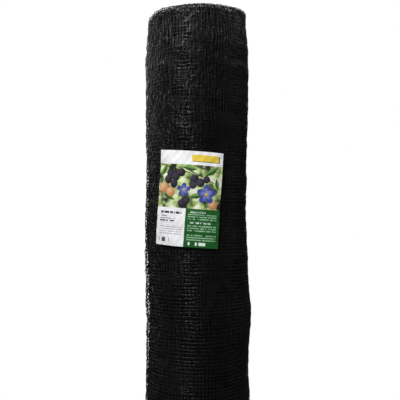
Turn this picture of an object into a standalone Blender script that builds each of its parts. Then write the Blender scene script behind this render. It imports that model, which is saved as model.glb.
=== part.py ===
"""A tall roll of black plastic bird netting that stands on its flat lower end, with a paper
label wrapped round its front. Metres, +Z up. The front of the roll faces -Y, and angles are
measured from there round the roll's axis, positive towards +X."""

import math
from collections import namedtuple

import bmesh
import bpy
from mathutils import Vector

# Net roll: one solid of the wound net
ROLL_LENGTH = 1.000
TURN_THICKNESS = 0.0018  # one turn of the net: the step where the outer turn ends
LAP_ANGLE = math.radians(158)  # where the outer turn ends, at the back
EDGE_CHAMFER = 0.003  # the net's cut edges are a little slack at both ends
OUT_OF_ROUND = 0.0012
RIM_ZONE = 0.15  # the length at the top over which the turns slip up or down
COLUMNS = 64

# Upper end: a spiral groove parts the main turns of the wound net
END_TURNS = 5
END_LOOPS = 20
END_GROOVE = 0.0045
END_BLEND = 0.010  # the groove fades out over this distance from the rim and from the middle

# The roll's outline, from the floor up: its radius on the left (-X) and on the right (+X)
Section = namedtuple("Section", "height left right")
SECTIONS = (
    Section(0.000, 0.1195, 0.1205),
    Section(0.050, 0.1205, 0.1225),
    Section(0.105, 0.1212, 0.1243),
    Section(0.145, 0.1210, 0.1224),
    Section(0.190, 0.1195, 0.1207),
    Section(0.240, 0.1181, 0.1238),
    Section(0.287, 0.1179, 0.1277),
    Section(0.325, 0.1186, 0.1275),
    Section(0.344, 0.1198, 0.1240),
    Section(0.382, 0.1200, 0.1217),
    Section(0.430, 0.1204, 0.1204),
    Section(0.477, 0.1220, 0.1181),
    Section(0.534, 0.1214, 0.1150),
    Section(0.572, 0.1197, 0.1160),
    Section(0.620, 0.1188, 0.1166),
    Section(0.667, 0.1186, 0.1173),
    Section(0.715, 0.1198, 0.1178),
    Section(0.745, 0.1202, 0.1202),
    Section(0.810, 0.1200, 0.1207),
    Section(0.860, 0.1211, 0.1207),
    Section(0.905, 0.1196, 0.1208),
    Section(0.925, 0.1184, 0.1212),
    Section(0.945, 0.1168, 0.1184),
    Section(0.965, 0.1156, 0.1152),
    Section(0.985, 0.1150, 0.1143),
    Section(1.000, 0.1140, 0.1150),
)

# The upper end is uneven: how far its rim stands above or below ROLL_LENGTH, round the roll
RimPoint = namedtuple("RimPoint", "degrees rise")
RIM = (
    RimPoint(-90, -0.0090),
    RimPoint(-60, -0.0040),
    RimPoint(-25, -0.0012),
    RimPoint(0, 0.0020),
    RimPoint(35, 0.0045),
    RimPoint(60, 0.0080),
    RimPoint(90, 0.0065),
    RimPoint(150, 0.0010),
    RimPoint(215, -0.0050),
    RimPoint(270, -0.0090),
)

# Label: one paper sheet, wrapped round the front
LABEL_WIDTH = 0.148
LABEL_HEIGHT = 0.210
LABEL_THICKNESS = 0.001
LABEL_ANGLE = math.radians(-10)  # of its middle, from the front
LABEL_MIDDLE_HEIGHT = 0.5725
LABEL_LEAN = math.radians(4)  # its right-hand side hangs lower
LABEL_COLUMNS = 22
LABEL_ROWS = 14
PIECE_GAP = 0.0003

# Finishes
NET_COLOUR = (0.012, 0.012, 0.013)
PAPER_COLOUR = (0.80, 0.80, 0.78)


def between(rows, at, key, value):
    """The value at one place between the rows of a table, in straight steps."""
    for low, high in zip(rows, rows[1:]):
        if getattr(low, key) <= at <= getattr(high, key):
            share = (at - getattr(low, key)) / (getattr(high, key) - getattr(low, key))
            return getattr(low, value) * (1 - share) + getattr(high, value) * share
    raise ValueError(f"{key} {at} is outside the table")


def turned(angle):
    """How much of the outer turn has been laid at this angle, from 0 at the lap to 1."""
    return ((angle - LAP_ANGLE) % math.tau) / math.tau


def roll_radius(angle, height, laid):
    """The radius of the wound net, which grows by one turn's thickness from lap to lap."""
    left = between(SECTIONS, height, "height", "left")
    right = between(SECTIONS, height, "height", "right")
    radius = (left + right) / 2 + math.sin(angle) * (right - left) / 2
    radius += OUT_OF_ROUND * math.cos(3 * angle)
    return radius + TURN_THICKNESS * (laid - 0.5)


def rim_rise(angle):
    """How far the top edge stands above ROLL_LENGTH at this angle."""
    degrees = (math.degrees(angle) + 90) % 360 - 90
    return between(RIM, degrees, "degrees", "rise")


def roll_point(angle, height, laid, inset=0.0):
    """A point of the roll's surface, or inset from it towards the axis."""
    radius = roll_radius(angle, height, laid) - inset
    slip = max(0.0, 1 - (ROLL_LENGTH - height) / RIM_ZONE)
    level = height + rim_rise(angle) * slip
    return Vector((radius * math.sin(angle), -radius * math.cos(angle), level))


def plain_material(name, colour, roughness):
    material = bpy.data.materials.new(name)
    material.use_nodes = True
    shader = material.node_tree.nodes["Principled BSDF"]
    shader.inputs["Base Color"].default_value = (*colour, 1)
    shader.inputs["Roughness"].default_value = roughness
    shader.inputs["Metallic"].default_value = 0
    return material


def new_object(name, bm, material):
    mesh = bpy.data.meshes.new(name)
    bm.to_mesh(mesh)
    bm.free()
    mesh.materials.append(material)
    mesh.shade_smooth()
    mesh.set_sharp_from_angle(angle=math.radians(40))
    obj = bpy.data.objects.new(name, mesh)
    bpy.context.scene.collection.objects.link(obj)
    return obj


def bridge(bm, lower, upper):
    """Quads between two closed loops of as many points, facing away from the axis."""
    for i in range(len(lower)):
        bm.faces.new((lower[i - 1], lower[i], upper[i], upper[i - 1]))


def roll_loop(bm, columns, height, inset=0.0):
    """One closed loop round the roll. Its ends, one turn apart, meet in the step at the lap."""
    return [bm.verts.new(roll_point(angle, height, laid, inset)) for angle, laid in columns]


def model_net_roll():
    bm = bmesh.new()
    shares = [i / COLUMNS for i in range(COLUMNS + 1)]
    columns = [(LAP_ANGLE + share * math.tau, share) for share in shares]
    heights = [0.0, EDGE_CHAMFER]
    heights += [section.height for section in SECTIONS[1:-1]]
    heights += [ROLL_LENGTH - EDGE_CHAMFER, ROLL_LENGTH]
    loops = []
    for height in heights:
        at_an_end = height in (0.0, ROLL_LENGTH)
        loops.append(roll_loop(bm, columns, height, EDGE_CHAMFER if at_an_end else 0.0))
    for lower, upper in zip(loops, loops[1:]):
        bridge(bm, lower, upper)
    bm.faces.new(reversed(loops[0]))
    close_upper_end(bm, loops[-1], columns)
    return new_object("net_roll", bm, plain_material("black_netting", NET_COLOUR, 0.5))


def groove_depth(from_rim, from_middle, laid):
    """Depth of the spiral groove that starts at the lap and winds in to the middle."""
    turns_in = from_rim / (from_rim + from_middle) * END_TURNS - (1 - laid)
    ridge = abs(math.sin(math.pi * turns_in)) ** 0.6
    fade = min(1.0, from_rim / END_BLEND, from_middle / END_BLEND)
    return END_GROOVE * (1 - ridge) * fade


def close_upper_end(bm, rim, columns):
    """The wound edges of the net: loops that level out towards the middle of the roll."""
    outer = rim
    for step in range(1, END_LOOPS + 1):
        share = 1 - step / (END_LOOPS + 1)
        inner = []
        for vert, (_, laid) in zip(rim, columns):
            radius = vert.co.xy.length
            level = ROLL_LENGTH + (vert.co.z - ROLL_LENGTH) * share
            level -= groove_depth(radius * (1 - share), radius * share, laid)
            inner.append(bm.verts.new((vert.co.x * share, vert.co.y * share, level)))
        bridge(bm, outer, inner)
        outer = inner
    middle = bm.verts.new((0, 0, ROLL_LENGTH))
    for i in range(len(outer)):
        bm.faces.new((outer[i - 1], outer[i], middle))


def model_label():
    bm = bmesh.new()
    bmesh.ops.create_grid(bm, x_segments=LABEL_COLUMNS, y_segments=LABEL_ROWS, size=0.5)
    for vert in bm.verts:
        across = vert.co.x * LABEL_WIDTH
        up = vert.co.y * LABEL_HEIGHT
        along = across * math.cos(LABEL_LEAN) + up * math.sin(LABEL_LEAN)
        height = LABEL_MIDDLE_HEIGHT - across * math.sin(LABEL_LEAN) + up * math.cos(LABEL_LEAN)
        angle = LABEL_ANGLE + along / roll_radius(LABEL_ANGLE, height, turned(LABEL_ANGLE))
        vert.co = roll_point(angle, height, turned(angle), inset=-PIECE_GAP)
    obj = new_object("label", bm, plain_material("printed_paper", PAPER_COLOUR, 0.45))
    solidify = obj.modifiers.new("thickness", "SOLIDIFY")
    solidify.thickness = LABEL_THICKNESS
    solidify.offset = 1
    return obj


def stand_on_middle(pieces):
    """Moves the meshes so that the origin lies under the middle of the part's box."""
    points = [vert.co for obj in pieces for vert in obj.data.vertices]
    middle = [(min(p[axis] for p in points) + max(p[axis] for p in points)) / 2 for axis in (0, 1)]
    shift = Vector((-middle[0], -middle[1], 0))
    for obj in pieces:
        for vert in obj.data.vertices:
            vert.co += shift


def main():
    for obj in list(bpy.data.objects):
        bpy.data.objects.remove(obj, do_unlink=True)
    stand_on_middle([model_net_roll(), model_label()])


main()
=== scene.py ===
"""Looks for a tall roll of black bird netting with a printed label wrapped round its front.

Laid out as a Blender add-on: sizes and colours are properties, each group of pieces has its
operator, and main() calls them in order. Metres, +Z up. The front of the roll faces -Y, and
angles are measured from there round the roll, positive towards +X."""

import math
from collections import namedtuple

import bpy
import numpy as np
from bpy.props import FloatProperty, IntProperty, PointerProperty, StringProperty
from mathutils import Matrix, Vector
from mathutils.bvhtree import BVHTree


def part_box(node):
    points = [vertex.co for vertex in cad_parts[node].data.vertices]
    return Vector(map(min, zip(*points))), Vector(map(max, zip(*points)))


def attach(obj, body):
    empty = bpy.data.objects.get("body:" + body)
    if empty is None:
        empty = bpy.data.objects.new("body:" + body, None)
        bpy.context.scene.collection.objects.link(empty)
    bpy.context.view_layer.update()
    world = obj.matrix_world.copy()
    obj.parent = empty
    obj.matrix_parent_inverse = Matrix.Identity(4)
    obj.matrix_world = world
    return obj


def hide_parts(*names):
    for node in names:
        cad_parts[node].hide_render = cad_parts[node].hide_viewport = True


bl_info = {
    "name": "Bird Netting Roll",
    "version": (1, 0, 0),
    "blender": (4, 5, 0),
    "location": "3D View > Sidebar > Netting",
    "description": "Models a wound roll of bird netting, its label and a studio round it",
    "category": "Add Mesh",
}

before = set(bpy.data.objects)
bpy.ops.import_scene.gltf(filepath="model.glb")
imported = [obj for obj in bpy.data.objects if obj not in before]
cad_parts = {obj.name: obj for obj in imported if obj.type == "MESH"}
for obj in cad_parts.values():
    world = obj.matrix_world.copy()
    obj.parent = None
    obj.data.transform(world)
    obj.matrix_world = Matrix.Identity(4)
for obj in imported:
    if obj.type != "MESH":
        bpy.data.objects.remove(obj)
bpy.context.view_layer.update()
BODY = "root"
ROLL_LENGTH = 1.000  # the width of the net; the uneven rim lies about this level
RIM_ZONE = 0.15  # the length at the top over which the turns slip up or down


# ---------------------------------------------------------------- properties


class NetSettings(bpy.types.PropertyGroup):
    """Sizes and finish of the wound net."""

    mesh: FloatProperty(
        name="Mesh", description="Distance from strand to strand", default=0.0077, unit="LENGTH"
    )
    strand_width: FloatProperty(
        name="Strand width", description="Across a strand, midway between knots",
        default=0.00165, unit="LENGTH",
    )
    stoutness: FloatProperty(
        name="Stoutness", description="How much stouter strands up the net are than those across",
        default=1.15,
    )
    strand_depth: FloatProperty(
        name="Strand depth", description="Through a strand, midway between knots",
        default=0.0007, unit="LENGTH",
    )
    knot_swell: FloatProperty(
        name="Knot swell", description="How much wider a strand is at its knots", default=1.4
    )
    tip: FloatProperty(
        name="Tip", description="What the cut strands stand past the last knot",
        default=0.0015, unit="LENGTH",
    )
    turn_thickness: FloatProperty(
        name="Turn thickness", description="From one turn of the net to the next",
        default=0.0018, unit="LENGTH",
    )
    lap_angle: FloatProperty(
        name="Lap", description="Where the outer turn ends, from the front",
        default=math.radians(158), subtype="ANGLE", unit="ROTATION",
    )
    open_turns: IntProperty(
        name="Open turns", description="Outer turns whose strands are modelled from end to end",
        default=3, min=2,
    )
    end_rows: IntProperty(
        name="End rows", description="Rows of mesh modelled at the top of the turns inside those",
        default=2, min=1,
    )
    proud: FloatProperty(
        name="Proud", description="How far the outer turn stands proud of the solid's surface",
        default=0.0008, unit="LENGTH",
    )
    slack: FloatProperty(
        name="Slack", description="How far the outer turn stands off on the left, low down",
        default=0.008, unit="LENGTH",
    )
    wander: FloatProperty(
        name="Wander", description="How far strands stray from straight over long stretches",
        default=0.0018, unit="LENGTH",
    )
    tangle: FloatProperty(
        name="Tangle", description="How far rows stray up and down in the upper half", default=0.0013,
        unit="LENGTH",
    )
    buckle: FloatProperty(
        name="Buckle", description="How far strands wave in and out between knots", default=0.0003,
        unit="LENGTH",
    )
    sag: FloatProperty(
        name="Sag", description="How far crossbars sag inwards where the net is slack",
        default=0.0016, unit="LENGTH",
    )
    stretch: FloatProperty(
        name="Stretch", description="How much wider apart rows are at the bottom than at half height",
        default=0.05,
    )
    ripple: FloatProperty(
        name="Ripple", description="How far strands wave to and fro where the net is ruffled",
        default=0.0008, unit="LENGTH",
    )
    bunching: FloatProperty(
        name="Bunching", description="How far strands crowd together and part again",
        default=0.0016, unit="LENGTH",
    )
    fray: FloatProperty(
        name="Fray", description="How far single knots of the outer turn stick out on the left",
        default=0.0035, unit="LENGTH",
    )
    unevenness: FloatProperty(
        name="Unevenness", description="How far a turn strays in and out over long stretches",
        default=0.0004, unit="LENGTH",
    )
    lumps: FloatProperty(
        name="Lumps", description="How far all the turns together bulge in and out",
        default=0.0008, unit="LENGTH",
    )
    jitter: FloatProperty(
        name="Jitter", description="How far single knots stray from their neighbours",
        default=0.0005, unit="LENGTH",
    )
    rim_unevenness: FloatProperty(
        name="Rim unevenness", description="How far turns slip up or down at the upper end",
        default=0.0015, unit="LENGTH",
    )
    rim_dip: FloatProperty(
        name="Rim dip", description="How much lower the upper end is in front than at the sides",
        default=0.0045, unit="LENGTH",
    )
    crowding: FloatProperty(
        name="Crowding", description="How far rows near the upper end are pushed up towards it",
        default=0.0045, unit="LENGTH",
    )
    colour: StringProperty(name="Colour", description="Strand colour, sRGB", default="#101010")
    dust: StringProperty(
        name="Dust", description="Colour of the dustiest strands of the outer turn, sRGB",
        default="#181817",
    )
    # The turns inside the outer one are the same plastic, painted lighter and given a stronger gloss.
    # This is painted light that makes up for the shade the outer turn casts on them; their dust patches
    # are real.
    inner_brightened: StringProperty(
        name="Inner brightened", description="Strand colour of the turns inside it, sRGB", default="#1C1C1C"
    )
    inner_brightened_dust: StringProperty(
        name="Sheltered dust", description="Colour of their dustiest strands, sRGB",
        default="#242422",
    )


class LabelSettings(bpy.types.PropertyGroup):
    """Size, place and printing inks of the label."""

    width: FloatProperty(name="Width", description="Label width", default=0.148, unit="LENGTH")
    height: FloatProperty(name="Height", description="Label height", default=0.210, unit="LENGTH")
    thickness: FloatProperty(
        name="Thickness", description="Of the coated card", default=0.0005, unit="LENGTH"
    )
    angle: FloatProperty(
        name="Angle", description="Of its middle, from the front of the roll",
        default=math.radians(-10.8), subtype="ANGLE", unit="ROTATION",
    )
    lean: FloatProperty(
        name="Lean", description="How much its right-hand side hangs lower",
        default=math.radians(4), subtype="ANGLE", unit="ROTATION",
    )
    curl: FloatProperty(
        name="Curl", description="How far the upper right corner stands off", default=0.0015,
        unit="LENGTH",
    )
    waviness: FloatProperty(
        name="Waviness", description="How far the card waves in and out", default=0.0003,
        unit="LENGTH",
    )
    card: StringProperty(name="Card", description="Card colour, sRGB", default="#F2F2F4")
    green: StringProperty(name="Green ink", description="Lower panel, sRGB", default="#14581D")
    yellow: StringProperty(name="Yellow ink", description="Header block, sRGB", default="#EBCF45")


class StudioSettings(bpy.types.PropertyGroup):
    """Camera and lights."""

    distance: FloatProperty(
        name="Distance", description="From the camera to the roll's axis", default=1.44,
        unit="LENGTH",
    )
    eye_height: FloatProperty(
        name="Eye height", description="Of the camera above the floor", default=0.546,
        unit="LENGTH",
    )
    lens: FloatProperty(
        name="Lens", description="Focal length in millimetres", default=54.5, subtype="DISTANCE_CAMERA"
    )
    key_power: FloatProperty(
        name="Key light", description="Power of the softbox left of the camera", default=44.0,
        subtype="POWER", unit="POWER",
    )
    side_power: FloatProperty(
        name="Side light", description="Power of the light at the left", default=14.5,
        subtype="POWER", unit="POWER",
    )
    right_power: FloatProperty(
        name="Right light", description="Power of the high light at the right", default=4.4,
        subtype="POWER", unit="POWER",
    )
    back_power: FloatProperty(
        name="Back light", description="Power of the light behind the roll", default=60.0,
        subtype="POWER", unit="POWER",
    )
    print_power: FloatProperty(
        name="Print light", description="Power of the light that shows up the label's print",
        default=31.0, subtype="POWER", unit="POWER",
    )
    floor_power: FloatProperty(
        name="Floor light", description="Power of the light that whitens the floor", default=420.0,
        subtype="POWER", unit="POWER",
    )
    fill: FloatProperty(
        name="Fill", description="Strength of the even light from all round", default=0.09
    )


# ---------------------------------------------------------------- small helpers


def linear(hex_colour):
    """A #RRGGBB sRGB colour as linear RGBA."""
    channels = [int(hex_colour[i : i + 2], 16) / 255 for i in (1, 3, 5)]
    return (*[c / 12.92 if c <= 0.04045 else ((c + 0.055) / 1.055) ** 2.4 for c in channels], 1)


def deselect_all():
    for obj in bpy.context.selected_objects:
        obj.select_set(False)


def make_active(obj):
    deselect_all()
    obj.select_set(True)
    bpy.context.view_layer.objects.active = obj


def apply_modifier(obj, kind, **settings):
    """Adds one modifier with its settings and applies it."""
    make_active(obj)
    modifier = obj.modifiers.new(kind.lower(), kind)
    for name, value in settings.items():
        setattr(modifier, name, value)
    bpy.ops.object.modifier_apply(modifier=modifier.name)


def get_points(obj):
    flat = np.empty(len(obj.data.vertices) * 3, np.float32)
    obj.data.vertices.foreach_get("co", flat)
    return flat.reshape(-1, 3).astype(np.float64)


def set_points(obj, points):
    obj.data.vertices.foreach_set("co", points.astype(np.float32).ravel())
    obj.data.update()


def smooth_step(low, high, value):
    """0 below the low value and 1 above the high one, with a smooth rise between them."""
    share = np.clip((value - low) / (high - low), 0, 1)
    return share * share * (3 - 2 * share)


def hump(value, middle, reach):
    """1 at the middle value, fading to 0 on both sides of it."""
    return np.exp(-(((value - middle) / reach) ** 2))


def nearness(angle, side, reach):
    """1 at one side of the roll, fading to 0 away from it. The side and the reach are in degrees."""
    sideways = (angle - math.radians(side) + math.pi) % math.tau - math.pi
    return hump(sideways, 0, math.radians(reach))


def rim_share(level):
    """0 below the zone in which turns slip up or down, rising evenly to 1 at the upper end."""
    return np.clip(1 - (ROLL_LENGTH - level) / RIM_ZONE, 0, 1)


def rows_of_mesh(net):
    """How many meshes there are up the width of the net."""
    return round((ROLL_LENGTH - 2 * net.tip) / net.mesh)


def add_node(tree, kind, settings=None, **links):
    """Adds a shader node: settings are its properties or its sockets' values, links its inputs."""
    node = tree.nodes.new(kind)
    for name, value in (settings or {}).items():
        if isinstance(name, int) or name in node.inputs:
            node.inputs[name].default_value = value
        else:
            setattr(node, name, value)
    for name, source in links.items():
        socket = node.inputs[int(name[1:])] if name[0] == "_" else node.inputs[name.replace("_", " ")]
        tree.links.new(source, socket)
    return node


# ---------------------------------------------------------------- shape of the wound net


class WoundShape:
    """Where the net lies on the roll. The roll's outline is read from the frame's solid."""

    ANGLES = 120  # readings round the solid
    LEVELS = 101  # readings up it
    NEAR_EDGE = 0.97  # the share of the length and of the radius at which the rim is read
    END_MARGIN = 0.005  # the least distance from the solid's ends at which its side is read
    SMOOTHING = np.array([1, 3, 4, 3, 1]) / 12  # weights of five readings up the side
    LOOSE_LEVEL = 0.33  # the level at which the outer turn is the loosest
    LOOSE_SIDE = (-90, 38)  # the side where it is the loosest and how far that reaches, in degrees

    def __init__(self, net):
        self.net = net
        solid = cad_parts["net_roll"]
        mesh = solid.data
        self.tree = BVHTree.FromPolygons(
            [v.co for v in mesh.vertices], [p.vertices for p in mesh.polygons]
        )
        self.angles = (np.arange(self.ANGLES) + 0.5) / self.ANGLES * math.tau
        self.levels = np.linspace(0, ROLL_LENGTH, self.LEVELS)
        self.rim = np.array([self.top_at(a) for a in self.angles])
        self.radii = np.array([self.column(a, top) for a, top in zip(self.angles, self.rim)]).T
        self.mean = float(self.radii.mean())

    def side_radius(self, angle, level):
        """The solid's radius at one angle and level, read by a ray from 1 m off its axis."""
        out = Vector((math.sin(angle), -math.cos(angle), 0))
        hit = self.tree.ray_cast(out + Vector((0, 0, level)), -out)
        return 1 - hit[3]

    def top_at(self, angle):
        """The level of the solid's upper end, a little way in from its side."""
        radius = self.side_radius(angle, self.NEAR_EDGE * ROLL_LENGTH) * self.NEAR_EDGE
        start = Vector((radius * math.sin(angle), -radius * math.cos(angle), 2 * ROLL_LENGTH))
        return self.tree.ray_cast(start, Vector((0, 0, -1)))[0].z

    def column(self, angle, top):
        """Radii up the solid at one angle, without the spiral's own growth."""
        levels = self.levels + (top - ROLL_LENGTH) * rim_share(self.levels)
        levels = np.clip(levels, self.END_MARGIN, top - self.END_MARGIN)
        radii = np.array([self.side_radius(angle, level) for level in levels])
        laid = ((angle - self.net.lap_angle) % math.tau) / math.tau
        padded = np.pad(radii, len(self.SMOOTHING) // 2, mode="edge")
        smoothed = np.convolve(padded, self.SMOOTHING, "valid")
        return smoothed - self.net.turn_thickness * (laid - 0.5)

    def read(self, grid, rows, row_at, angle):
        """A grid of values over rows and angles, read smoothly between its points."""
        row = np.clip((row_at - rows[0]) / (rows[1] - rows[0]), 0, len(rows) - 1.001)
        column = (angle % math.tau) / math.tau * self.ANGLES - 0.5
        r0, c0 = np.floor(row).astype(int), np.floor(column).astype(int)
        r, c = row - r0, column - c0
        c0, c1 = c0 % self.ANGLES, (c0 + 1) % self.ANGLES
        low = grid[r0, c0] * (1 - c) + grid[r0, c1] * c
        high = grid[r0 + 1, c0] * (1 - c) + grid[r0 + 1, c1] * c
        return low * (1 - r) + high * r

    def turns_at(self, along):
        """How many turns in from the free edge a point along the net is."""
        t = self.net.turn_thickness
        return (self.mean - np.sqrt(np.maximum(self.mean**2 - t * along / math.pi, 0))) / t

    def along_at(self, turns):
        """How far along the net from its free edge a number of turns is."""
        return math.pi * (2 * self.mean * turns - self.net.turn_thickness * turns**2)

    def ruffle(self, along, up):
        """How disturbed the mesh is: most at the left of the front's upper half."""
        angle = self.net.lap_angle - math.tau * self.turns_at(along)
        near = nearness(angle, -50, 60)
        cut_edge = 0.3 * smooth_step(0.05, 0.01, ROLL_LENGTH - up)
        upper = 0.85 * smooth_step(0.3, 0.6, up) - 0.35 * smooth_step(0.80, 0.92, up)
        return 0.3 + near * (0.35 + upper) + cut_edge

    def fray(self, along, level):
        """How far each knot of the outer turn sticks out: most on the left, below the middle."""
        turns = self.turns_at(along)
        near = nearness(self.net.lap_angle - math.tau * turns, *self.LOOSE_SIDE) * (turns < 1)
        patch = 0.8 * hump(level, self.LOOSE_LEVEL, 0.12) + 0.35
        loose = np.clip(knot_jitter(along, level, self.net.mesh, seed=17) + 0.1, 0, 1)
        return self.net.fray * near * patch * loose

    def slack(self, angle, level):
        """Where the outer turn stands off: on the left, below the middle, unevenly."""
        near = nearness(angle, *self.LOOSE_SIDE)
        patch = hump(level, self.LOOSE_LEVEL, 0.10) + 0.35
        uneven = np.clip(0.75 + 0.6 * drift(0.5 * angle, level, seed=5, wavelength=0.024), 0.15, 1.3)
        return self.net.slack * near * patch * uneven

    def lumps(self, angle, level):
        """How far all the turns bulge out together, here and there."""
        across = self.mean * (np.sin(angle) + 0.6 * np.cos(angle))
        bulge = drift(across, level, seed=23, wavelength=0.045)
        bulge += 0.6 * drift(across, level, seed=24, wavelength=0.018)
        return self.net.lumps * bulge * (0.6 + 0.4 * smooth_step(0.35, 0.6, level))

    def place(self, along, out, up):
        """Points of the flat net, along its length, out from it and up its width, on the roll."""
        turns = self.turns_at(along)
        angle = self.net.lap_angle - math.tau * turns
        thickness = self.net.turn_thickness
        radius = self.read(self.radii, self.levels, up, angle)
        radius += (thickness - self.net.strand_depth * self.net.knot_swell) / 2 + self.net.proud
        # The turns inside the outer one lie further in where that one stands off
        radius -= self.slack(angle, up) * smooth_step(0.95, 1.15, turns)
        share = 1 - thickness * turns / self.mean
        radius = radius * share + self.lumps(angle, up) + out
        below = ROLL_LENGTH - up
        loose = rim_share(up)
        uneven = loose * self.net.rim_unevenness
        level = up + self.slip(angle, up, share)
        level += uneven * drift(along, 0 * up, seed=6, wavelength=0.35)
        level += 0.4 * uneven * drift(along, 0 * up, seed=7, wavelength=0.045)
        level -= loose * self.net.rim_dip * (np.cos(angle) ** 2 - 0.3)
        level += self.net.crowding * smooth_step(0, 0.009, below) * smooth_step(0.06, 0.009, below)
        return np.stack([radius * np.sin(angle), -radius * np.cos(angle), level], axis=1)

    def slip(self, angle, up, share):
        """How far the net has slipped up or down near its uneven upper end."""
        rim = self.read(self.rim[None].repeat(2, 0), (0, 1), np.zeros_like(up), angle)
        return (rim - ROLL_LENGTH) * share * rim_share(up)


# The leans of waves that travel any way, mostly along the net, and mostly up it
ANY_WAY = (0, math.tau)
ALONG = (-0.5, 0.5)
UPWARD = (math.pi / 2 - 0.4, math.pi / 2 + 0.4)


def drift(along, up, seed, wavelength, leans=ANY_WAY, waves=7):
    """Smooth unevenness over the flat net, about -1 to 1, from a few waves of random lean."""
    random = np.random.default_rng(seed)
    total = np.zeros_like(along)
    for _ in range(waves):
        lean = random.uniform(*leans)
        length = wavelength * random.uniform(0.7, 1.6)
        phase = random.uniform(0, math.tau)
        travel = (along * math.cos(lean) + up * math.sin(lean)) / length
        total += np.sin(math.tau * travel + phase)
    return total / math.sqrt(waves)


# ---------------------------------------------------------------- strands


# How finely a strand is modelled: the sides of its section, and the shares of a cell at which
# it can bend, the last at the next knot
Detail = namedtuple("Detail", "sides rings")
FINE = Detail(4, (0.5, 1))  # the outermost turn
PLAIN = Detail(3, (1,))  # the turns inside it
PLAIN_SWELL = 1.1  # the stoutness, all the way, of a strand that bends only at its knots
WELD = 1e-5  # points closer than this are one


def model_strand(net, cells, pitch, detail, stoutness=1.0):
    """One closed strand along Z over a number of cells: thick at its knots, thin between."""
    sides, rings = detail
    deselect_all()
    bpy.ops.mesh.primitive_circle_add(vertices=sides, radius=0.5, fill_type="NOTHING")
    strand = bpy.context.object
    bpy.ops.object.mode_set(mode="EDIT")
    bpy.ops.mesh.select_all(action="SELECT")
    swell = net.knot_swell if len(rings) > 1 else PLAIN_SWELL
    size = (net.strand_width * swell * stoutness, net.strand_depth * swell * stoutness, 1)
    bpy.ops.transform.resize(value=size, center_override=(0, 0, 0))
    widths = [1] * (len(rings) - 1) + [swell]
    for below, ring, before, width in zip((0, *rings), rings, (swell, *widths), widths):
        lift = (0, 0, pitch * (ring - below))
        bpy.ops.mesh.extrude_region_move(TRANSFORM_OT_translate={"value": lift})
        scale = (width / before, width / before, 1)
        bpy.ops.transform.resize(value=scale, center_override=(0, 0, pitch * ring))
    bpy.ops.object.mode_set(mode="OBJECT")
    repeat(strand, cells, (0, 0, pitch), merge=True)
    make_active(strand)
    bpy.ops.object.mode_set(mode="EDIT")
    bpy.ops.mesh.select_all(action="DESELECT")
    bpy.ops.mesh.select_non_manifold()
    bpy.ops.mesh.mark_sharp()
    bpy.ops.mesh.select_all(action="SELECT")
    bpy.ops.mesh.fill_holes(sides=sides)
    bpy.ops.mesh.normals_make_consistent(inside=False)
    bpy.ops.object.mode_set(mode="OBJECT")
    return strand


def repeat(obj, count, step, merge=False):
    """Copies the object's mesh along a step, welding each copy to the last where asked."""
    apply_modifier(
        obj, "ARRAY", count=count, use_relative_offset=False, use_constant_offset=True,
        constant_offset_displace=step, use_merge_vertices=merge, merge_threshold=WELD,
    )


def slide(obj, axis, distance):
    """Moves the object's mesh along one axis."""
    points = get_points(obj)
    points[:, axis] += distance
    set_points(obj, points)


def lengthen_ends(obj, axis, low, high, low_tip, high_tip):
    """Slides a strand's two closed ends past the outermost knots."""
    points = get_points(obj)
    points[points[:, axis] < low + WELD, axis] -= low_tip
    points[points[:, axis] > high - WELD, axis] += high_tip
    set_points(obj, points)


def model_net(name, net, shape, columns, rows, detail, between=False, joined_below=False):
    """A stretch of the net: strands up it and across it, laid flat and then wound on the roll.

    columns and rows are the first and last knot, counted from the free edge and from below. The
    first upright of a stretch that carries on another belongs to that one and is left out, and
    so is the lowest crossbar of one that is joined below. A stretch laid between two turns is
    half a mesh off both ways from its neighbours."""
    first, last = columns
    lowest, highest = rows
    all_rows = rows_of_mesh(net)
    row_pitch = (ROLL_LENGTH - 2 * net.tip) / all_rows
    rows_up = 0.5 * between * row_pitch
    start = (first + 0.5 * between) * net.mesh
    bottom = net.tip + lowest * row_pitch + rows_up
    width, height = (last - first) * net.mesh, (highest - lowest) * row_pitch

    uprights = model_strand(net, highest - lowest, row_pitch, detail, net.stoutness)
    tips = [(net.tip + rows_up) * at_end for at_end in (lowest == 0, highest == all_rows - between)]
    lengthen_ends(uprights, 2, 0, height, *tips)
    carries_on = int(first > 0)
    repeat(uprights, last - first + 1 - carries_on, (net.mesh, 0, 0))
    slide(uprights, 0, carries_on * net.mesh)

    crossbars = model_strand(net, last - first, net.mesh, detail)
    crossbars.rotation_euler = (0, math.pi / 2, 0)
    make_active(crossbars)
    bpy.ops.object.transform_apply(location=False, rotation=True, scale=False)
    lengthen_ends(crossbars, 0, 0, width, (net.tip + start) * (first == 0), 0)
    repeat(crossbars, highest - lowest + 1 - joined_below, (0, 0, row_pitch))
    slide(crossbars, 2, joined_below * row_pitch)

    make_active(uprights)
    crossbars.select_set(True)
    bpy.ops.object.join()
    uprights.name = uprights.data.name = name
    wind(uprights, net, shape, start, bottom, between)
    make_active(uprights)
    bpy.ops.object.shade_smooth()
    return uprights


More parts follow.
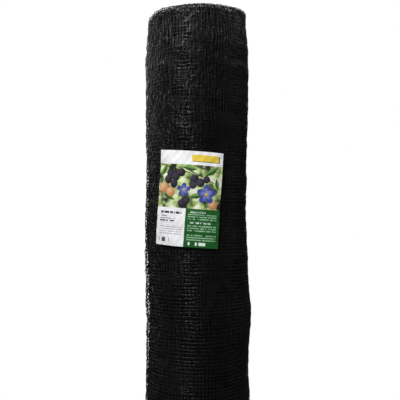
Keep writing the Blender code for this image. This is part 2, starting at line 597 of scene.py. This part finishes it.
def wind(obj, net, shape, start, bottom, between):
    """Lays a flat stretch of net on the roll, with the unevenness of a soft net."""
    points = get_points(obj)
    x, out, z = points[:, 0] + start, points[:, 1], points[:, 2] + bottom
    ruffle = shape.ruffle(x, z)
    limp = np.clip(1.6 * (ruffle - 0.4), 0, 1)

    # How far each point strays along the net
    shift = net.wander * drift(x, z, seed=11, wavelength=0.30)
    shift += 0.4 * net.wander * drift(x, z, seed=12, wavelength=0.07)
    shift += 0.5 * net.ripple * ruffle * drift(x, z, seed=18, wavelength=0.021, leans=UPWARD)
    shift += net.bunching * ruffle * drift(x, z, seed=21, wavelength=0.024, leans=ALONG)
    shift += 0.4 * net.jitter * (0.4 + ruffle) * knot_jitter(x, z, net.mesh, seed=13)

    # How far it strays up the net, less and less towards its two edges
    lift = 1.4 * net.wander * drift(x, z, seed=14, wavelength=0.34)
    upper_half = smooth_step(0.4, 0.6, z)
    lift += 1.6 * net.wander * upper_half * drift(x, z, seed=25, wavelength=0.3)
    lift += net.tangle * (0.15 + 0.85 * limp) * drift(x, z, seed=26, wavelength=0.009)
    lift += net.stretch * z * (1 - z / ROLL_LENGTH)
    lift += 0.4 * net.wander * drift(x, z, seed=19, wavelength=0.08)
    lift += net.ripple * ruffle * drift(x, z, seed=20, wavelength=0.024, leans=ALONG)
    lift += 0.5 * net.bunching * drift(x, z, seed=22, wavelength=0.026, leans=UPWARD)
    lift += net.jitter * (0.4 + ruffle) * knot_jitter(x, z, net.mesh, seed=15)
    lift *= smooth_step(0, 0.03, z) * (0.35 + 0.65 * smooth_step(0, 0.03, ROLL_LENGTH - z))

    # How far it stands out from the turn's own surface
    out = out + net.unevenness * drift(x, z, seed=16, wavelength=0.11) + shape.fray(x, z)
    out += net.buckle * (0.3 + limp) * drift(x, z, seed=27, wavelength=0.012, leans=ALONG)
    out -= 0.5 * between * net.turn_thickness
    out -= net.sag * limp * np.sin(math.pi * (x / net.mesh - 0.5 * between)) ** 2
    set_points(obj, shape.place(x + shift, out, z + lift))


KNOTS = 64  # both ways, after which the same random shifts come again


def knot_jitter(along, up, pitch, seed):
    """A random shift for each knot, -1 to 1, shared out along the strands between them."""
    random = np.random.default_rng(seed)
    table = random.uniform(-1, 1, (KNOTS, KNOTS))
    a, u = along / pitch, up / pitch
    a0, u0 = np.floor(a).astype(int), np.floor(u).astype(int)
    fa, fu = a - a0, u - u0
    corner = [table[(a0 + i) % KNOTS, (u0 + j) % KNOTS] for i in (0, 1) for j in (0, 1)]
    low = corner[0] * (1 - fu) + corner[1] * fu
    high = corner[2] * (1 - fu) + corner[3] * fu
    return low * (1 - fa) + high * fa


# ---------------------------------------------------------------- materials


def new_material(name):
    material = bpy.data.materials.new(name)
    material.use_nodes = True
    return material, material.node_tree, material.node_tree.nodes["Principled BSDF"]


def math_node(tree, operation, *values):
    """A maths node whose inputs are numbers or other nodes' outputs."""
    numbers = {i: v for i, v in enumerate(values) if isinstance(v, (int, float))}
    links = {f"_{i}": v for i, v in enumerate(values) if not isinstance(v, (int, float))}
    return add_node(tree, "ShaderNodeMath", {"operation": operation, **numbers}, **links).outputs[0]


def polyethylene(name, colour, dust_colour, sheen):
    """Extruded black polyethylene, drawn out hot: a soft gloss on carbon-black strands, with
    dust and scuffs that dull it here and there. The dust lies in patches of about 110 mm and
    the grain of the drawn surface is 1 mm, coarser than real, so that it shows."""
    material, tree, shader = new_material(name)
    shader.inputs["IOR"].default_value = 1.51
    shader.inputs["Specular IOR Level"].default_value = sheen
    place = add_node(tree, "ShaderNodeTexCoord").outputs["Object"]
    dust = add_node(tree, "ShaderNodeTexNoise", {"Scale": 9.0, "Detail": 4.0}, Vector=place)
    grain = add_node(tree, "ShaderNodeTexNoise", {"Scale": 900.0, "Detail": 2.0}, Vector=place)
    tone = add_node(tree, "ShaderNodeValToRGB", Fac=dust.outputs["Fac"])
    tone.color_ramp.elements[0].position = 0.35
    tone.color_ramp.elements[0].color = linear(colour)
    tone.color_ramp.elements[1].position = 0.75
    tone.color_ramp.elements[1].color = linear(dust_colour)
    gloss = add_node(
        tree, "ShaderNodeMapRange", {"To Min": 0.29, "To Max": 0.41}, Value=dust.outputs["Fac"]
    )
    bump = add_node(
        tree, "ShaderNodeBump", {"Strength": 0.25, "Distance": 0.0001}, Height=grain.outputs["Fac"]
    )
    tree.links.new(tone.outputs["Color"], shader.inputs["Base Color"])
    tree.links.new(gloss.outputs["Result"], shader.inputs["Roughness"])
    tree.links.new(bump.outputs["Normal"], shader.inputs["Normal"])
    return material


MESHES_ROUND = 92  # once round the dense inner turns, at about the net's own pitch
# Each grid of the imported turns: how far it is moved, in meshes, and how far it strays
PACKED_GRIDS = (((0.1, 0.2, 0), 0.5), ((0.45, 0.6, 0), 1.0), ((0.8, 0.35, 0), 1.6))


def packed_netting(net):
    """The turns behind the open ones: black strands, laid over one another in three grids,
    with painted shade in the gaps between them, near-black and without gloss. The strands are
    1.1 mm across, as real ones are, and stray from straight over some 70 mm."""
    material, tree, shader = new_material("packed_netting")
    place = add_node(tree, "ShaderNodeTexCoord").outputs["Object"]
    axes = add_node(tree, "ShaderNodeSeparateXYZ", Vector=place)
    back = math_node(tree, "MULTIPLY", axes.outputs["Y"], -1.0)
    turn = math_node(tree, "ARCTAN2", axes.outputs["X"], back)
    around = math_node(tree, "MULTIPLY", turn, MESHES_ROUND / math.tau)
    up = math_node(tree, "DIVIDE", axes.outputs["Z"], net.mesh)
    flat = add_node(tree, "ShaderNodeCombineXYZ", X=around, Y=up)
    stray = add_node(tree, "ShaderNodeTexNoise", {"Scale": 14.0, "Detail": 1.0}, Vector=place)
    layers = None
    for shift, strength in PACKED_GRIDS:
        moved = add_node(
            tree, "ShaderNodeVectorMath", {"operation": "MULTIPLY_ADD", 1: [strength] * 3},
            _0=stray.outputs["Color"], _2=flat.outputs[0],
        )
        placed = add_node(
            tree, "ShaderNodeVectorMath", {"operation": "ADD", 1: shift}, _0=moved.outputs[0]
        )
        grid = add_node(
            tree, "ShaderNodeTexBrick",
            {
                "offset": 0.0, "Scale": 1.0, "Brick Width": 1.0, "Row Height": 1.0,
                "Mortar Size": 0.07, "Mortar Smooth": 0.6,
            },
            Vector=placed.outputs[0],
        )
        strands = grid.outputs["Fac"]
        layers = strands if layers is None else math_node(tree, "MAXIMUM", layers, strands)
    # Painted shade: the gaps between the strands are near-black and, below, get no gloss at all.
    tone = add_node(
        tree, "ShaderNodeMix",
        {"data_type": "RGBA", 6: linear("#050505"), 7: linear("#222222")}, _0=layers,
    )
    shine = add_node(tree, "ShaderNodeMapRange", {"To Min": 0.0, "To Max": 0.8}, Value=layers)
    bump = add_node(tree, "ShaderNodeBump", {"Strength": 1.0, "Distance": 0.001}, Height=layers)
    shader.inputs["Roughness"].default_value = 0.45
    tree.links.new(tone.outputs[2], shader.inputs["Base Color"])
    tree.links.new(shine.outputs["Result"], shader.inputs["Specular IOR Level"])
    tree.links.new(bump.outputs["Normal"], shader.inputs["Normal"])
    return material


def ink_over(tree, base, ink, mask):
    """The base colour with an ink printed over it where the mask is 1."""
    mix = add_node(tree, "ShaderNodeMix", {"data_type": "RGBA", 7: linear(ink)}, _0=mask)
    if isinstance(base, str):
        mix.inputs[6].default_value = linear(base)
    else:
        tree.links.new(base, mix.inputs[6])
    return mix.outputs[2]


def start_print(name, label):
    """A sheet of coated card: satin, with the faint tooth of its coating, drawn 0.7 mm across,
    coarser than real. Its print is placed in widths of the label, from the lower left corner."""
    material, tree, shader = new_material(name)
    shader.inputs["Roughness"].default_value = 0.42
    shader.inputs["Coat Weight"].default_value = 0.25
    shader.inputs["Coat Roughness"].default_value = 0.25
    coordinates = add_node(tree, "ShaderNodeTexCoord")
    place = add_node(
        tree, "ShaderNodeMapping", {"Scale": (1, label.height / label.width, 1)},
        Vector=coordinates.outputs["UV"],
    )
    tooth = add_node(
        tree, "ShaderNodeTexNoise", {"Scale": 1400.0, "Detail": 2.0},
        Vector=coordinates.outputs["Object"],
    )
    bump = add_node(
        tree, "ShaderNodeBump", {"Strength": 0.15, "Distance": 0.00005},
        Height=tooth.outputs["Fac"],
    )
    tree.links.new(bump.outputs["Normal"], shader.inputs["Normal"])
    return material, tree, shader, place.outputs[0]


def block(tree, place, left, right, low, high):
    """1 inside a rectangle of the label, 0 outside it."""
    axes = add_node(tree, "ShaderNodeSeparateXYZ", Vector=place).outputs
    within = []
    for axis, least, most in (("X", left, right), ("Y", low, high)):
        past = math_node(tree, "GREATER_THAN", axes[axis], least)
        short = math_node(tree, "LESS_THAN", axes[axis], most)
        within.append(math_node(tree, "MULTIPLY", past, short))
    return math_node(tree, "MULTIPLY", *within)


def marks(tree, place, pitch, weight, length, gaps):
    """Rows of small marks, in place of words: their pitch, the share of it that is inked, the
    least length of a mark and the share of the row that is blank."""
    axes = add_node(tree, "ShaderNodeSeparateXYZ", Vector=place).outputs
    row = math_node(tree, "DIVIDE", axes["Y"], pitch)
    step = math_node(tree, "DIVIDE", axes["X"], length)
    cell = add_node(
        tree, "ShaderNodeCombineXYZ",
        X=math_node(tree, "FLOOR", step), Y=math_node(tree, "FLOOR", row),
    )
    chance = add_node(
        tree, "ShaderNodeTexWhiteNoise", {"noise_dimensions": "2D"}, Vector=cell.outputs[0]
    )
    marked = math_node(tree, "GREATER_THAN", chance.outputs["Value"], gaps)
    inked = math_node(tree, "LESS_THAN", math_node(tree, "FRACT", row), weight)
    return math_node(tree, "MULTIPLY", marked, inked)


def print_marks(tree, place, base, rows):
    """The base colour with several blocks of marks printed over it."""
    for ink, box, *size in rows:
        mask = math_node(tree, "MULTIPLY", block(tree, place, *box), marks(tree, place, *size))
        base = ink_over(tree, base, ink, mask)
    return base


def coated_card(label):
    """Bare white card: a yellow flash edged in green at its head and, below, grey marks."""
    material, tree, shader, place = start_print("coated_card", label)
    colour = ink_over(tree, label.card, "#39472A", block(tree, place, 0.535, 0.945, 1.262, 1.357))
    colour = ink_over(tree, colour, label.yellow, block(tree, place, 0.520, 0.930, 1.272, 1.367))
    # Each block: its ink, its left, right, lower and upper edges, and its marks' sizes
    rows = (
        ("#3C3D42", (0.06, 0.43, 0.478, 0.520), 0.0435, 0.75, 0.0150, 0.22),
        ("#77787D", (0.06, 0.19, 0.430, 0.455), 0.0250, 0.75, 0.0150, 0.20),
        ("#5B5C61", (0.06, 0.33, 0.340, 0.410), 0.0400, 0.55, 0.0150, 0.24),
        ("#BBBCC0", (0.06, 0.44, 0.165, 0.310), 0.0340, 0.50, 0.0170, 0.14),
        ("#55565B", (0.06, 0.25, 0.055, 0.120), 1.0, 1.0, 0.0115, 0.50),
    )
    colour = print_marks(tree, place, colour, rows)
    tree.links.new(colour, shader.inputs["Base Color"])
    return material


def green_print(label):
    """The green panel, with blocks of small pale marks, each under a line of larger ones."""
    material, tree, shader, place = start_print("green_printed_card", label)
    rows = (
        ("#D5E6D7", (0.55, 0.78, 0.505, 0.530), 0.0250, 0.70, 0.0160, 0.22),
        ("#8DB893", (0.52, 0.95, 0.408, 0.490), 0.0340, 0.50, 0.0170, 0.14),
        ("#D5E6D7", (0.55, 0.86, 0.352, 0.377), 0.0250, 0.70, 0.0160, 0.22),
        ("#8DB893", (0.52, 0.95, 0.238, 0.340), 0.0340, 0.50, 0.0170, 0.14),
        ("#8DB893", (0.52, 0.95, 0.102, 0.204), 0.0340, 0.50, 0.0170, 0.14),
        ("#E6F1E7", (0.52, 0.80, 0.030, 0.075), 1.0, 1.0, 0.0260, 0.50),
    )
    colour = print_marks(tree, place, label.green, rows)
    tree.links.new(colour, shader.inputs["Base Color"])
    return material


# A motif of the garden picture: its kind and inks, its middle, its half length and half breadth
# in widths of the label, and its tilt in degrees
Motif = namedtuple("Motif", "kind ink shade across up long broad tilt")
# The outline of each kind: the powers of its length and breadth in |x|^a + |y|^b = 1
OUTLINES = {"fruit": (2, 2), "petal": (2.4, 1.8), "leaf": (1.4, 1.0), "twig": (8, 8)}


def garden_motifs():
    """Plums and peaches on leafy twigs, and two blue blossoms."""
    twig = ("twig", "#4A3B2C", "#2A211A")
    leaf = ("leaf", "#6E9A4A", "#2F5524")
    plum = ("fruit", "#403749", "#0C0A10")
    peach = ("fruit", "#EBC08F", "#B9764C")
    petal = ("petal", "#8E9AD6", "#3B4896")
    eye = ("fruit", "#EBCF6A", "#A5762C")
    motifs = [
        Motif(*twig, 0.22, 1.165, 0.30, 0.008, -14),
        Motif(*twig, 0.66, 1.060, 0.24, 0.007, -24),
        Motif(*leaf, 0.08, 1.110, 0.095, 0.040, 62),
        Motif(*leaf, 0.50, 1.165, 0.110, 0.042, -8),
        Motif(*leaf, 0.83, 1.130, 0.120, 0.045, 35),
        Motif(*leaf, 0.93, 0.950, 0.090, 0.035, -75),
        Motif(*leaf, 0.62, 0.760, 0.120, 0.042, 12),
        Motif(*leaf, 0.20, 0.735, 0.110, 0.040, -28),
    ]
    for across, up, size in (
        (0.20, 1.080, 0.060), (0.29, 1.030, 0.066), (0.17, 0.985, 0.062), (0.27, 0.925, 0.058),
        (0.38, 1.095, 0.055), (0.58, 1.010, 0.060), (0.67, 0.960, 0.062), (0.56, 0.920, 0.056),
        (0.76, 1.010, 0.050), (0.40, 0.640, 0.050), (0.48, 0.690, 0.048),
    ):
        motifs.append(Motif(*plum, across, up, size, size * 1.08, 0))
    for across, up, size in ((0.10, 0.860, 0.085), (0.22, 0.800, 0.075), (0.88, 0.640, 0.070)):
        motifs.append(Motif(*peach, across, up, size, size * 0.94, 0))
    for across, up, size in ((0.77, 0.790, 0.120), (0.43, 0.840, 0.085)):
        for turn in range(5):
            tilt = 90 + 72 * turn
            reach = 0.62 * size
            x = across + reach * math.cos(math.radians(tilt))
            y = up + reach * math.sin(math.radians(tilt))
            motifs.append(Motif(*petal, x, y, 0.62 * size, 0.42 * size, tilt))
        motifs.append(Motif(*eye, across, up, 0.22 * size, 0.22 * size, 0))
    return motifs


def print_motif(tree, place, colour, motif):
    """One motif printed over the picture. A fruit is lit at its upper left, a petal or a twig
    at one end and a leaf on one side of its midrib."""
    local = add_node(
        tree, "ShaderNodeMapping",
        {
            "vector_type": "TEXTURE", "Location": (motif.across, motif.up, 0),
            "Rotation": (0, 0, math.radians(motif.tilt)), "Scale": (motif.long, motif.broad, 1),
        },
        Vector=place,
    ).outputs[0]
    axes = add_node(tree, "ShaderNodeSeparateXYZ", Vector=local).outputs
    x, y = [
        math_node(tree, "POWER", math_node(tree, "ABSOLUTE", axes[name]), power)
        for name, power in zip("XY", OUTLINES[motif.kind])
    ]
    inside = math_node(tree, "LESS_THAN", math_node(tree, "ADD", x, y), 1.0)
    if motif.kind == "leaf":
        shading = math_node(tree, "LESS_THAN", axes["Y"], 0.05)
    else:
        lit = (-0.35, 0.40, 0) if motif.kind == "fruit" else (-0.9, 0.3, 0)
        away = add_node(tree, "ShaderNodeVectorMath", {"operation": "DISTANCE", 1: lit}, _0=local)
        shading = add_node(
            tree, "ShaderNodeMapRange", {"From Min": 0.1, "From Max": 1.35},
            Value=away.outputs["Value"],
        ).outputs[0]
    ink = add_node(
        tree, "ShaderNodeMix", {"data_type": "RGBA", 6: linear(motif.ink), 7: linear(motif.shade)},
        _0=shading,
    ).outputs[2]
    printed = add_node(
        tree, "ShaderNodeMix", {"data_type": "RGBA"}, _0=inside, _6=colour, _7=ink
    )
    return printed.outputs[2]


def garden_print(label):
    """A garden picture: fruit, blossom and leaves before blurred greenery with bright gaps. The
    blurs are about 27 mm across on the label and the gaps 11 mm apart."""
    material, tree, shader, place = start_print("picture_printed_card", label)
    blur = add_node(tree, "ShaderNodeTexNoise", {"Scale": 5.5, "Detail": 3.0}, Vector=place)
    ramp = add_node(tree, "ShaderNodeValToRGB", Fac=blur.outputs["Fac"])
    ramp.color_ramp.elements[0].position = 0.375
    ramp.color_ramp.elements[0].color = linear("#1F2517")
    ramp.color_ramp.elements[1].position = 0.635
    ramp.color_ramp.elements[1].color = linear("#F0EEDC")
    for at, colour in ((0.44, "#56683C"), (0.49, "#8EA863"), (0.55, "#BBD288")):
        ramp.color_ramp.elements.new(at).color = linear(colour)
    gaps = add_node(tree, "ShaderNodeTexVoronoi", {"Scale": 13.0}, Vector=place)
    glint = add_node(
        tree, "ShaderNodeMapRange", {"From Min": 0.34, "From Max": 0.28, "To Max": 0.35},
        Value=gaps.outputs["Distance"],
    )
    colour = ink_over(tree, ramp.outputs["Color"], "#E9EBC8", glint.outputs[0])
    for motif in garden_motifs():
        colour = print_motif(tree, place, colour, motif)
    tree.links.new(colour, shader.inputs["Base Color"])
    return material


# ---------------------------------------------------------------- operators


def finish_net_piece(obj, material):
    obj.data.materials.clear()
    obj.data.materials.append(material)
    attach(obj, BODY)
    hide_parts("net_roll")


CREASE = math.radians(40)  # edges that bend more than this stay sharp


class NETTING_OT_outer_turns(bpy.types.Operator):
    """Models the outer turns of the net, every strand from end to end"""

    bl_idname = "netting.outer_turns"
    bl_label = "Outer turns"

    def execute(self, context):
        net = context.scene.netting
        shape = WoundShape(net)
        dusty = polyethylene("extruded_polyethylene", net.colour, net.dust, 0.4)
        # Painted light: the inner turns' copy of the plastic is lighter and glossier than the outer
        # turn's, to make up for the outer turn's shade.
        brightened_polyethylene = polyethylene("brightened_inner_polyethylene", net.inner_brightened, net.inner_brightened_dust, 1.0)
        all_rows = rows_of_mesh(net)
        for turn in range(net.open_turns):
            columns = [round(shape.along_at(t) / net.mesh) for t in (turn, turn + 1)]
            if turn > 0:
                rows = (0, all_rows)
                obj = model_net(f"net_turn_{turn + 1}", net, shape, columns, rows, PLAIN)
                finish_net_piece(obj, brightened_polyethylene)
                continue
            low, high = all_rows // 3, 2 * all_rows // 3
            parts = (("lower", (0, low)), ("middle", (low, high)), ("upper", (high, all_rows)))
            for name, rows in parts:
                obj = model_net(
                    f"net_turn_1_{name}", net, shape, columns, rows, FINE, joined_below=rows[0] > 0
                )
                finish_net_piece(obj, dusty)
        return {"FINISHED"}


class NETTING_OT_wound_edges(bpy.types.Operator):
    """Models the ends of the inner turns, which show as a spiral of cut edges"""

    bl_idname = "netting.wound_edges"
    bl_label = "Wound edges"

    TURNS_LEFT_OUT = 5  # in the middle of the roll, where they are too tight to model

    def execute(self, context):
        net = context.scene.netting
        shape = WoundShape(net)
        # The cut edges take the inner turns' lighter, glossier copy too: painted light.
        material = bpy.data.materials["brightened_inner_polyethylene"]
        all_rows = rows_of_mesh(net)
        innermost = shape.mean / net.turn_thickness - self.TURNS_LEFT_OUT
        columns = [round(shape.along_at(t) / net.mesh) for t in (net.open_turns, innermost)]
        upper = (all_rows - net.end_rows, all_rows)
        obj = model_net("net_upper_edges", net, shape, columns, upper, PLAIN)
        finish_net_piece(obj, material)
        obj = model_net("net_lower_edges", net, shape, columns, (0, 1), PLAIN)
        finish_net_piece(obj, material)
        # One more row of mesh between the outermost turns, half a mesh off, thickens the rim
        rim = (all_rows - 2, all_rows - 1)
        columns = (0, columns[0] // 2)
        obj = model_net("net_rim_layers", net, shape, columns, rim, PLAIN, between=True)
        finish_net_piece(obj, material)
        return {"FINISHED"}


class NETTING_OT_inner_turns(bpy.types.Operator):
    """Models the dense inner turns as one body under the open ones"""

    bl_idname = "netting.inner_turns"
    bl_label = "Inner turns"

    SIDES = 144  # of the body's section
    LEVELS = 50  # at which its radius is set
    OVERLAP = 0.2  # how far it reaches up among the wound edges, in meshes
    LOWER_END = 1.2  # how far its lower end is from the roll's, in meshes
    SUNK = 0.25  # in turn thicknesses: sinks the innermost open turn into it to mid strand
    RADIUS_SHARE = 0.93  # its radius, as a share of the roll's
    CALM_MIDDLE = 0.25  # lumps fade out over this share of its radius, at the middle of its ends

    def execute(self, context):
        net = context.scene.netting
        shape = WoundShape(net)
        end_depth = (net.end_rows - self.OVERLAP) * net.mesh
        low, high = self.LOWER_END * net.mesh, ROLL_LENGTH - end_depth
        deselect_all()
        bpy.ops.mesh.primitive_cylinder_add(
            vertices=self.SIDES, radius=1, depth=high - low, location=(0, 0, (high + low) / 2),
            end_fill_type="TRIFAN",
        )
        body = bpy.context.object
        bpy.ops.object.transform_apply(location=True, rotation=False, scale=False)
        body.name = body.data.name = "inner_turns"
        bpy.ops.object.mode_set(mode="EDIT")
        for level in np.linspace(low, high, self.LEVELS)[1:-1]:
            bpy.ops.mesh.select_all(action="SELECT")
            bpy.ops.mesh.bisect(plane_co=(0, 0, level), plane_no=(0, 0, 1))
        bpy.ops.object.mode_set(mode="OBJECT")
        points = get_points(body)
        angle, level = np.arctan2(points[:, 0], -points[:, 1]), points[:, 2]
        share = np.hypot(points[:, 0], points[:, 1])
        turns = net.open_turns - 1 + (net.lap_angle - angle) % math.tau / math.tau
        radius = shape.read(shape.radii, shape.levels, level, angle)
        radius -= (turns - self.SUNK) * net.turn_thickness - net.proud + shape.slack(angle, level)
        radius *= share
        radius += np.minimum(share / self.CALM_MIDDLE, 1) * shape.lumps(angle, level)
        level = level + shape.slip(angle, level + end_depth, share * self.RADIUS_SHARE)
        points = np.stack([radius * np.sin(angle), -radius * np.cos(angle), level], 1)
        set_points(body, points)
        make_active(body)
        bpy.ops.object.shade_smooth_by_angle(angle=CREASE)
        finish_net_piece(body, packed_netting(net))
        return {"FINISHED"}


class NETTING_OT_label(bpy.types.Operator):
    """Models the printed label, wrapped round the front of the roll"""

    bl_idname = "netting.label"
    bl_label = "Label"

    COLUMNS = 50  # of faces across the sheet
    ROWS = 70  # of faces up it
    HEADER_FOOT = 0.857  # the picture reaches up to here, in shares of the height
    PICTURE_FOOT = 0.40  # and down to here
    GREEN_SIDE = 0.48  # the green panel's left-hand side, in shares of the width
    CLEARANCE = 0.0008  # under the card, besides the room that uneven strands take up
    FOLLOWED = 0.7  # the share of the roll's lumps that the card follows

    def execute(self, context):
        net, label = context.scene.netting, context.scene.netting_label
        shape = WoundShape(net)
        low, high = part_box("label")
        middle = (low.z + high.z) / 2
        deselect_all()
        bpy.ops.mesh.primitive_grid_add(
            x_subdivisions=self.COLUMNS, y_subdivisions=self.ROWS, size=1, calc_uvs=True
        )
        sheet = bpy.context.object
        sheet.name = sheet.data.name = "printed_label"
        for material in (coated_card(label), green_print(label), garden_print(label)):
            sheet.data.materials.append(material)
        for face in sheet.data.polygons:
            face.material_index = self.panel(face.center.x + 0.5, face.center.y + 0.5)
        points = get_points(sheet)
        across, up = points[:, 0] * label.width, points[:, 1] * label.height
        along = across * math.cos(label.lean) + up * math.sin(label.lean)
        level = middle - across * math.sin(label.lean) + up * math.cos(label.lean)
        angle = label.angle + along / shape.mean
        radius = shape.read(shape.radii, shape.levels, level, angle) + 0.5 * net.turn_thickness
        radius += net.proud + self.CLEARANCE + label.curl * self.corner(points[:, 0], points[:, 1])
        radius += self.FOLLOWED * shape.lumps(angle, level)
        radius += label.waviness * drift(along, level, seed=31, wavelength=0.09)
        points = np.stack([radius * np.sin(angle), -radius * np.cos(angle), level], 1)
        set_points(sheet, points)
        apply_modifier(sheet, "SOLIDIFY", thickness=label.thickness, offset=1)
        make_active(sheet)
        bpy.ops.object.shade_smooth_by_angle(angle=CREASE)
        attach(sheet, BODY)
        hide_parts("label")
        return {"FINISHED"}

    def panel(self, u, v):
        """Which printing a face has: 0 bare card, 1 the green panel, 2 the garden picture."""
        if v > self.HEADER_FOOT:
            return 0
        if v > self.PICTURE_FOOT:
            return 2
        return 1 if u > self.GREEN_SIDE else 0

    def corner(self, x, y):
        """How much of the curl each point of the sheet gets: all at its upper right corner."""
        return smooth_step(0.55, 1.0, x + y)


# A soft light: where it hangs, the point that it is aimed at, and its two sides
Softbox = namedtuple("Softbox", "place aim size")


class NETTING_OT_studio(bpy.types.Operator):
    """Sets the pale floor, the soft lights and the camera"""

    bl_idname = "netting.studio"
    bl_label = "Studio"

    SOFTBOXES = {
        "key": Softbox((-0.80, -1.25, 2.3), (0, 0, 0.4), (0.2, 0.4)),
        "side": Softbox((-2.5, 1.0, 1.45), (0, 0, 0.8), (1.2, 0.7)),
        "right": Softbox((2.25, 0.55, 1.95), (0, 0, 0.4), (0.8, 0.4)),
        "back": Softbox((0.5, 1.3, 2.9), (0, 0, 0.5), (0.5, 0.5)),
        "print": Softbox((0.3, -1.6, 2.3), (0, 0, 0.55), (0.8, 0.8)),
        "overhead": Softbox((0, 0, 3.2), (0, 0, 0), (4, 4)),
    }
    FLOOR_RADIUS = 0.29
    SENSOR_WIDTH = 36  # millimetres
    FRAME_SHIFT = (0.0044, 0.0275)  # of the picture to the right and up, in its widths

    def execute(self, context):
        scene, studio = context.scene, context.scene.netting_studio
        scene.view_settings.view_transform = "Standard"
        self.white_surround(scene, studio)
        floor = self.pale_floor()
        self.softbox("key", studio.key_power)
        self.softbox("side", studio.side_power)
        self.softbox("right", studio.right_power)
        self.softbox("back", studio.back_power)
        self.softbox("print", studio.print_power, only=bpy.data.objects["printed_label"])
        self.softbox("overhead", studio.floor_power, only=floor)
        self.camera(scene, studio)
        return {"FINISHED"}

    def white_surround(self, scene, studio):
        """White behind everything, and a dim even light on the roll from all round."""
        world = bpy.data.worlds.new("white_surround")
        scene.world = world
        world.use_nodes = True
        tree = world.node_tree
        tree.nodes.clear()
        seen = add_node(tree, "ShaderNodeBackground", {"Color": (1, 1, 1, 1), "Strength": 1.0})
        fill = add_node(
            tree, "ShaderNodeBackground", {"Color": (1, 1, 1, 1), "Strength": studio.fill}
        )
        path = add_node(tree, "ShaderNodeLightPath")
        both = add_node(
            tree, "ShaderNodeMixShader", _0=path.outputs["Is Camera Ray"],
            _1=fill.outputs[0], _2=seen.outputs[0],
        )
        add_node(tree, "ShaderNodeOutputWorld", Surface=both.outputs[0])

    def pale_floor(self):
        """A round floor under the roll, which shines neither on it nor in it."""
        deselect_all()
        bpy.ops.mesh.primitive_circle_add(
            vertices=96, radius=self.FLOOR_RADIUS, fill_type="NGON"
        )
        floor = bpy.context.object
        floor.name = "studio_floor"
        material, _, shader = new_material("painted_board")
        shader.inputs["Base Color"].default_value = (0.9, 0.9, 0.9, 1)
        shader.inputs["Roughness"].default_value = 0.9
        shader.inputs["Specular IOR Level"].default_value = 0.0
        floor.data.materials.append(material)
        floor.visible_glossy = False
        floor.visible_diffuse = False
        return floor

    def softbox(self, name, power, only=None):
        """Hangs one of the soft lights, which may be kept to one object."""
        place, aim, size = self.SOFTBOXES[name]
        light = bpy.data.lights.new(name, "AREA")
        light.shape = "RECTANGLE"
        light.size, light.size_y = size
        light.energy = power
        obj = bpy.data.objects.new(name, light)
        bpy.context.scene.collection.objects.link(obj)
        obj.location = place
        obj.rotation_euler = (Vector(aim) - Vector(place)).to_track_quat("-Z", "Y").to_euler()
        obj.visible_camera = False
        if only:
            lit = bpy.data.collections.new(f"lit_by_{name}")
            lit.objects.link(only)
            obj.light_linking.receiver_collection = lit

    def camera(self, scene, studio):
        data = bpy.data.cameras.new("camera")
        data.lens = studio.lens
        data.sensor_width = self.SENSOR_WIDTH
        data.shift_x, data.shift_y = self.FRAME_SHIFT
        camera = bpy.data.objects.new("camera", data)
        scene.collection.objects.link(camera)
        camera.location = (0, -studio.distance, studio.eye_height)
        camera.rotation_euler = (math.pi / 2, 0, 0)
        scene.camera = camera


class NETTING_PT_sidebar(bpy.types.Panel):
    """Shows the settings and the operators, one for each group of pieces, in the sidebar"""

    bl_label = "Bird Netting Roll"
    bl_idname = "NETTING_PT_sidebar"
    bl_space_type = "VIEW_3D"
    bl_region_type = "UI"
    bl_category = "Netting"

    def draw(self, context):
        for group in (context.scene.netting, context.scene.netting_label, context.scene.netting_studio):
            box = self.layout.box()
            for name in group.bl_rna.properties.keys():
                if name not in ("rna_type", "name"):
                    box.prop(group, name)
        for operator in OPERATORS:
            self.layout.operator(operator.bl_idname)


SETTINGS = {"netting": NetSettings, "netting_label": LabelSettings, "netting_studio": StudioSettings}
OPERATORS = (
    NETTING_OT_outer_turns,
    NETTING_OT_wound_edges,
    NETTING_OT_inner_turns,
    NETTING_OT_label,
    NETTING_OT_studio,
)
CLASSES = (*SETTINGS.values(), *OPERATORS, NETTING_PT_sidebar)


def register():
    for cls in CLASSES:
        bpy.utils.register_class(cls)
    for name, group in SETTINGS.items():
        setattr(bpy.types.Scene, name, PointerProperty(type=group))


def unregister():
    for name in SETTINGS:
        delattr(bpy.types.Scene, name)
    for cls in reversed(CLASSES):
        bpy.utils.unregister_class(cls)


def main():
    register()
    bpy.ops.netting.outer_turns()
    bpy.ops.netting.wound_edges()
    bpy.ops.netting.inner_turns()
    bpy.ops.netting.label()
    bpy.ops.netting.studio()


if __name__ == "__main__":
    main()
